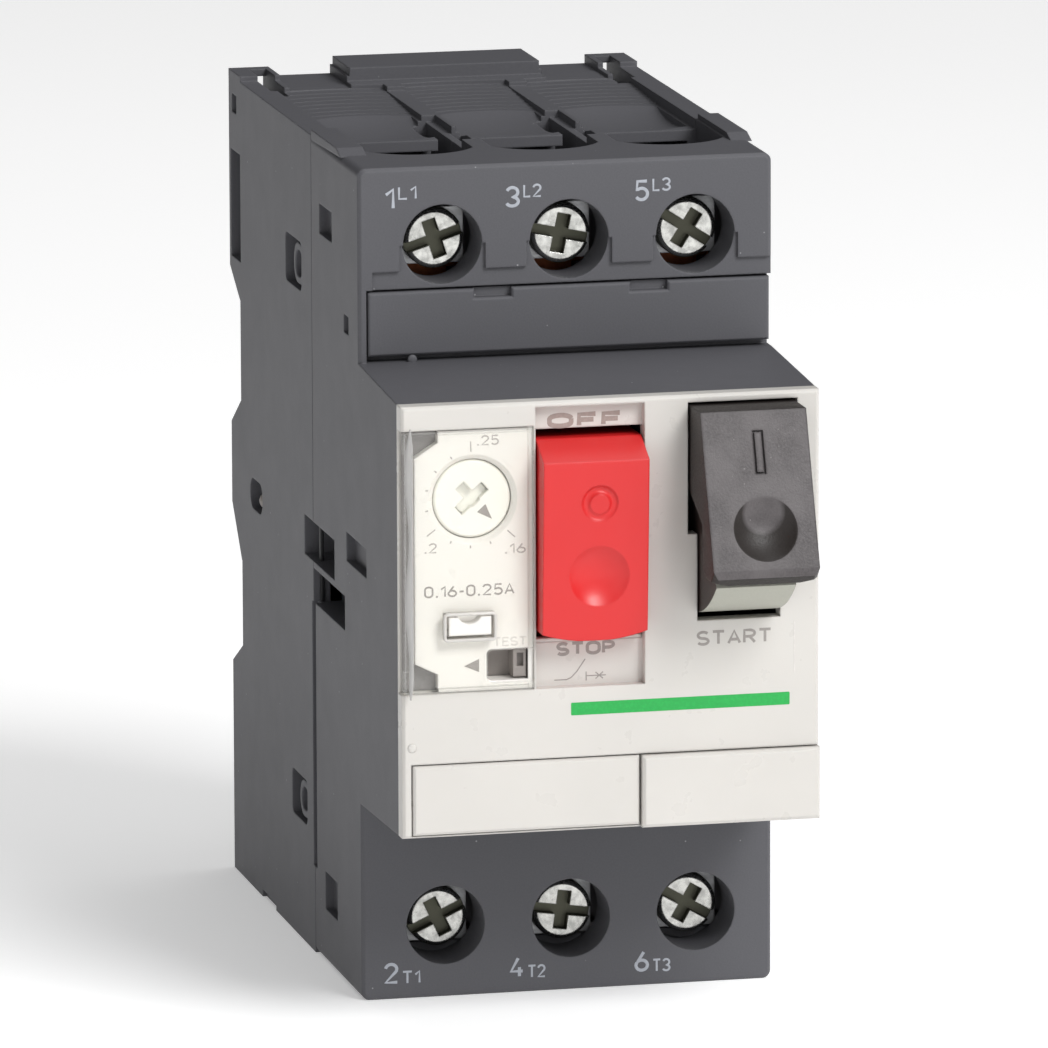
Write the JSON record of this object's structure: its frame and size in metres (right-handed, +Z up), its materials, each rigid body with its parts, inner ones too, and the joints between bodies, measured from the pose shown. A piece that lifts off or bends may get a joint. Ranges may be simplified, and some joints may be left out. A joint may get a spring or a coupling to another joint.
{
  "type": "motor protection breaker",
  "caption": "Rail-mounted motor protection breaker with rocker start and stop buttons, current setting dial under a clear cover and screw terminals above and below.",
  "frame": {"origin": "centre of the seat that bears on the 35 mm mounting rail, halfway across the width", "axes": "+Z up, +X to the right seen from the front, +Y to the rear, towards the rail"},
  "size_m": [0.0446, 0.0968, 0.0905],
  "materials": {
    "dark_plastic": "fine moulded grain",
    "white_plastic": "satin moulded",
    "grey_plastic": "satin moulded",
    "black_plastic": "coarse moulded grain",
    "red_plastic": "semi-gloss moulded",
    "clear_plastic": "clear polycarbonate",
    "screw_steel": "zinc plated",
    "steel": "plain pressed steel",
    "copper": "enamelled copper",
    "brass": "plain brass"
  },
  "bodies": {
    "housing": {"arc_chutes": "steel", "aux_slot_cover": "white_plastic", "bimetal_1": "steel", "bimetal_2": "steel", "bimetal_3": "steel", "blanking_panel": "dark_plastic", "button_pivot_pin": "steel", "case_screws": "steel", "front_cover": "white_plastic", "heater_windings": "brass", "label_holder": "white_plastic", "line_terminal_1": "brass", "line_terminal_2": "brass", "line_terminal_3": "brass", "load_contact_1": "brass", "load_contact_2": "brass", "load_contact_3": "brass", "load_terminal_1": "brass", "load_terminal_2": "brass", "load_terminal_3": "brass", "main_housing": "dark_plastic", "mechanism_frame": "steel", "rail_latch_spring": "steel", "rear_base": "dark_plastic", "seal_tab": "white_plastic", "setting_label_plate": "white_plastic", "toggle_pin": "steel", "trip_coil_1": "copper", "trip_coil_2": "copper", "trip_coil_3": "copper"},
    "start": {"start_cap": "black_plastic", "start_rocker": "grey_plastic"},
    "stop": {"stop_button": "red_plastic"},
    "toggle": {"toggle_lever": "grey_plastic"},
    "carrier": {"contact_carrier": "black_plastic", "contact_springs": "steel", "moving_contact_1": "brass", "moving_contact_2": "brass", "moving_contact_3": "brass"},
    "trip_bar": {"trip_bar": "grey_plastic"},
    "test": {"test_slider": "grey_plastic"},
    "dial": {"setting_dial": "white_plastic"},
    "clear_cover": {"transparent_cover": "clear_plastic"},
    "rail_latch": {"rail_latch": "black_plastic"},
    "plunger_1": {"trip_plunger_1": "steel"},
    "line_clamp_1": {"line_clamp_1": "screw_steel"},
    "line_screw_1": {"line_screw_1": "screw_steel"},
    "load_clamp_1": {"load_clamp_1": "screw_steel"},
    "load_screw_1": {"load_screw_1": "screw_steel"},
    "plunger_2": {"trip_plunger_2": "steel"},
    "line_clamp_2": {"line_clamp_2": "screw_steel"},
    "line_screw_2": {"line_screw_2": "screw_steel"},
    "load_clamp_2": {"load_clamp_2": "screw_steel"},
    "load_screw_2": {"load_screw_2": "screw_steel"},
    "plunger_3": {"trip_plunger_3": "steel"},
    "line_clamp_3": {"line_clamp_3": "screw_steel"},
    "line_screw_3": {"line_screw_3": "screw_steel"},
    "load_clamp_3": {"load_clamp_3": "screw_steel"},
    "load_screw_3": {"load_screw_3": "screw_steel"}
  },
  "joints": [
    {"name": "start_press", "type": "hinge", "parent": "housing", "child": "start", "pos_m": [0.014, -0.077, 0.0168], "axis": [1, 0, 0], "range_deg": [0, 18]},
    {"name": "stop_pop", "type": "hinge", "parent": "housing", "child": "stop", "pos_m": [-0.002, -0.077, 0.0168], "axis": [-1, 0, 0], "range_deg": [0, 13.6]},
    {"name": "toggle_turn", "type": "hinge", "parent": "housing", "child": "toggle", "pos_m": [0.0135, -0.0705, 0.014], "axis": [1, 0, 0], "range_deg": [0, 24]},
    {"name": "carrier_slide", "type": "slide", "parent": "housing", "child": "carrier", "axis": [0, 1, 0], "range_m": [0, 0.00302]},
    {"name": "test_slide", "type": "slide", "parent": "housing", "child": "test", "axis": [-1, 0, 0], "range_m": [0, 0.0026], "stiffness_N_per_m": 40},
    {"name": "trip_turn", "type": "hinge", "parent": "housing", "child": "trip_bar", "pos_m": [0, -0.033, -0.02], "axis": [-1, 0, 0], "range_deg": [0, 4.2]},
    {"name": "dial_turn", "type": "hinge", "parent": "housing", "child": "dial", "pos_m": [-0.0146, -0.0807, 0.0129], "axis": [0, 1, 0], "range_deg": [0, 225]},
    {"name": "cover_swing", "type": "hinge", "parent": "housing", "child": "clear_cover", "pos_m": [-0.0215, -0.0804, 0.006], "axis": [0, 0, -1], "range_deg": [0, 100]},
    {"name": "latch_slide", "type": "slide", "parent": "housing", "child": "rail_latch", "axis": [0, 0, -1], "range_m": [0, 0.003], "stiffness_N_per_m": 400, "springref_m": -0.001, "deforming": ["rail_latch_spring"]},
    {"name": "plunger_slide_1", "type": "slide", "parent": "housing", "child": "plunger_1", "axis": [0, 0, -1], "range_m": [0, 0.0013], "stiffness_N_per_m": 30, "springref_m": -0.001},
    {"name": "line_clamp_slide_1", "type": "slide", "parent": "housing", "child": "line_clamp_1", "axis": [0, 1, 0], "range_m": [0, 0.00385]},
    {"name": "line_screw_turn_1", "type": "hinge", "parent": "line_clamp_1", "child": "line_screw_1", "pos_m": [-0.0132, -0.055, 0.0362], "axis": [0, 1, 0], "range_deg": [0, 1980.1]},
    {"name": "load_clamp_slide_1", "type": "slide", "parent": "housing", "child": "load_clamp_1", "axis": [0, 1, 0], "range_m": [0, 0.00385]},
    {"name": "load_screw_turn_1", "type": "hinge", "parent": "load_clamp_1", "child": "load_screw_1", "pos_m": [-0.0132, -0.055, -0.0367], "axis": [0, 1, 0], "range_deg": [0, 1980.1]},
    {"name": "plunger_slide_2", "type": "slide", "parent": "housing", "child": "plunger_2", "axis": [0, 0, -1], "range_m": [0, 0.0013], "stiffness_N_per_m": 30, "springref_m": -0.001},
    {"name": "line_clamp_slide_2", "type": "slide", "parent": "housing", "child": "line_clamp_2", "axis": [0, 1, 0], "range_m": [0, 0.00385]},
    {"name": "line_screw_turn_2", "type": "hinge", "parent": "line_clamp_2", "child": "line_screw_2", "pos_m": [0.0004, -0.055, 0.0362], "axis": [0, 1, 0], "range_deg": [0, 1980.1]},
    {"name": "load_clamp_slide_2", "type": "slide", "parent": "housing", "child": "load_clamp_2", "axis": [0, 1, 0], "range_m": [0, 0.00385]},
    {"name": "load_screw_turn_2", "type": "hinge", "parent": "load_clamp_2", "child": "load_screw_2", "pos_m": [0.0004, -0.055, -0.0367], "axis": [0, 1, 0], "range_deg": [0, 1980.1]},
    {"name": "plunger_slide_3", "type": "slide", "parent": "housing", "child": "plunger_3", "axis": [0, 0, -1], "range_m": [0, 0.0013], "stiffness_N_per_m": 30, "springref_m": -0.001},
    {"name": "line_clamp_slide_3", "type": "slide", "parent": "housing", "child": "line_clamp_3", "axis": [0, 1, 0], "range_m": [0, 0.00385]},
    {"name": "line_screw_turn_3", "type": "hinge", "parent": "line_clamp_3", "child": "line_screw_3", "pos_m": [0.014, -0.055, 0.0362], "axis": [0, 1, 0], "range_deg": [0, 1980.1]},
    {"name": "load_clamp_slide_3", "type": "slide", "parent": "housing", "child": "load_clamp_3", "axis": [0, 1, 0], "range_m": [0, 0.00385]},
    {"name": "load_screw_turn_3", "type": "hinge", "parent": "load_clamp_3", "child": "load_screw_3", "pos_m": [0.014, -0.055, -0.0367], "axis": [0, 1, 0], "range_deg": [0, 1980.1]}
  ],
  "couplings": [
    {"joint": "start_press", "follows": "carrier_slide", "rad_per_m": 104},
    {"joint": "stop_pop", "follows": "carrier_slide", "rad_per_m": 78.5},
    {"joint": "toggle_turn", "follows": "carrier_slide", "rad_per_m": 138.4},
    {"joint": "trip_turn", "follows": "test_slide", "rad_per_m": 26.9},
    {"joint": "line_screw_turn_1", "follows": "line_clamp_slide_1", "rad_per_m": 8976},
    {"joint": "load_screw_turn_1", "follows": "load_clamp_slide_1", "rad_per_m": 8976},
    {"joint": "line_screw_turn_2", "follows": "line_clamp_slide_2", "rad_per_m": 8976},
    {"joint": "load_screw_turn_2", "follows": "load_clamp_slide_2", "rad_per_m": 8976},
    {"joint": "line_screw_turn_3", "follows": "line_clamp_slide_3", "rad_per_m": 8976},
    {"joint": "load_screw_turn_3", "follows": "load_clamp_slide_3", "rad_per_m": 8976}
  ]
}
